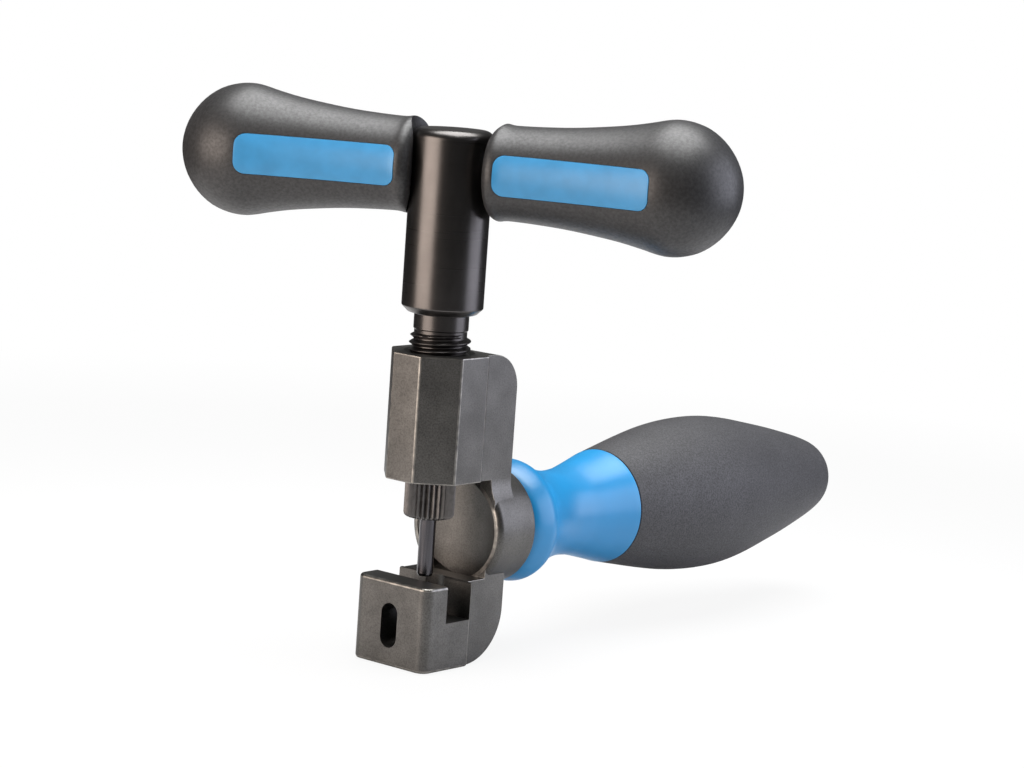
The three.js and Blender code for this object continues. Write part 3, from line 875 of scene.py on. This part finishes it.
class SetStage(bpy.types.Operator):
    """Paper floor, soft lamps and the camera"""

    bl_idname = "chain_tool.stage"
    bl_label = "Stage"

    def execute(self, context):
        scene = context.scene
        start_fresh()
        bpy.ops.mesh.primitive_plane_add(size=8, location=(0, 0, -0.0002))
        floor = context.object
        floor.name = "paper_floor"
        floor.data.materials.append(finish(pale_floor))
        target = Vector((0.0, 0.03, 0.07))
        # Name, place, width and height in metres, power in watts, and tint.
        for name, at, width, height, power, tint in (
            ("left_softbox", (-0.15, -0.45, 0.16), 0.40, 0.32, 2.5, "#ffeee2"),
            ("right_softbox", (0.46, 0.39, 0.22), 0.5, 0.5, 3.0, "#eef0ff"),
            ("top_softbox", (0.0, 0.1, 1.0), 0.9, 0.9, 23.0, "#ffffff"),
        ):
            lamp = bpy.data.lights.new(name, "AREA")
            lamp.shape = "RECTANGLE"
            lamp.size, lamp.size_y = width, height
            lamp.energy = power
            lamp.color = linear(tint)
            holder = bpy.data.objects.new(name, lamp)
            holder.location = at
            holder.rotation_euler = (target - Vector(at)).to_track_quat("-Z", "Y").to_euler()
            scene.collection.objects.link(holder)

        world = bpy.data.worlds.new("Studio")
        scene.world = world
        world.use_nodes = True
        tree = world.node_tree
        tree.nodes.clear()
        seen = add(tree, "ShaderNodeLightPath").outputs["Is Camera Ray"]
        level = add(tree, "ShaderNodeMapRange", {"Value": seen, "To Min": 0.1, "To Max": 1.0})
        sky = add(
            tree, "ShaderNodeBackground", {"Color": (1, 1, 1, 1), "Strength": level.outputs[0]}
        )
        add(tree, "ShaderNodeOutputWorld", {"Surface": sky.outputs["Background"]})

        lens = bpy.data.cameras.new("camera")
        lens.lens = 109.17
        lens.sensor_width = 36
        lens.clip_end = 20
        camera = bpy.data.objects.new("camera", lens)
        azimuth, elevation, roll = (math.radians(a) for a in (39.671, 8.215, -3.994))
        back = Vector(
            (
                math.sin(azimuth) * math.cos(elevation),
                -math.cos(azimuth) * math.cos(elevation),
                math.sin(elevation),
            )
        )
        right = Vector((math.cos(azimuth), math.sin(azimuth), 0))
        up = back.cross(right)
        tilt = Matrix.Rotation(roll, 3, back)
        right, up = tilt.inverted() @ right, tilt.inverted() @ up
        camera.matrix_world = Matrix.Translation((0.52652, -0.60437, 0.19073)) @ Matrix(
            (right, up, back)
        ).transposed().to_4x4()
        scene.collection.objects.link(camera)
        scene.camera = camera
        scene.view_settings.view_transform = "Standard"
        return {"FINISHED"}


class CHAINTOOL_PT_panel(bpy.types.Panel):
    """The tool's sizes, colours and build steps"""

    bl_label = "Chain tool"
    bl_space_type = "VIEW_3D"
    bl_region_type = "UI"
    bl_category = "Chain tool"

    def draw(self, context):
        for group in (context.scene.chain_tool_sizes, context.scene.chain_tool_colours):
            for name in group.__annotations__:
                self.layout.prop(group, name)
        for step in STEPS:
            self.layout.operator(step.bl_idname)


STEPS = (
    SetStage,
    BuildBodyCasting,
    BuildDriveScrew,
    BuildPinRetainer,
    BuildPushPin,
    BuildGrips,
    BuildRearHandle,
    DressInnerHardware,
)
CLASSES = (ChainToolSizes, ChainToolColours, *STEPS, CHAINTOOL_PT_panel)


def register():
    for item in CLASSES:
        bpy.utils.register_class(item)
    bpy.types.Scene.chain_tool_sizes = bpy.props.PointerProperty(type=ChainToolSizes)
    bpy.types.Scene.chain_tool_colours = bpy.props.PointerProperty(type=ChainToolColours)


def unregister():
    del bpy.types.Scene.chain_tool_sizes
    del bpy.types.Scene.chain_tool_colours
    for item in reversed(CLASSES):
        bpy.utils.unregister_class(item)


def main():
    register()
    for step in STEPS:
        group, name = step.bl_idname.split(".")
        getattr(getattr(bpy.ops, group), name)()


if __name__ == "__main__":
    main()
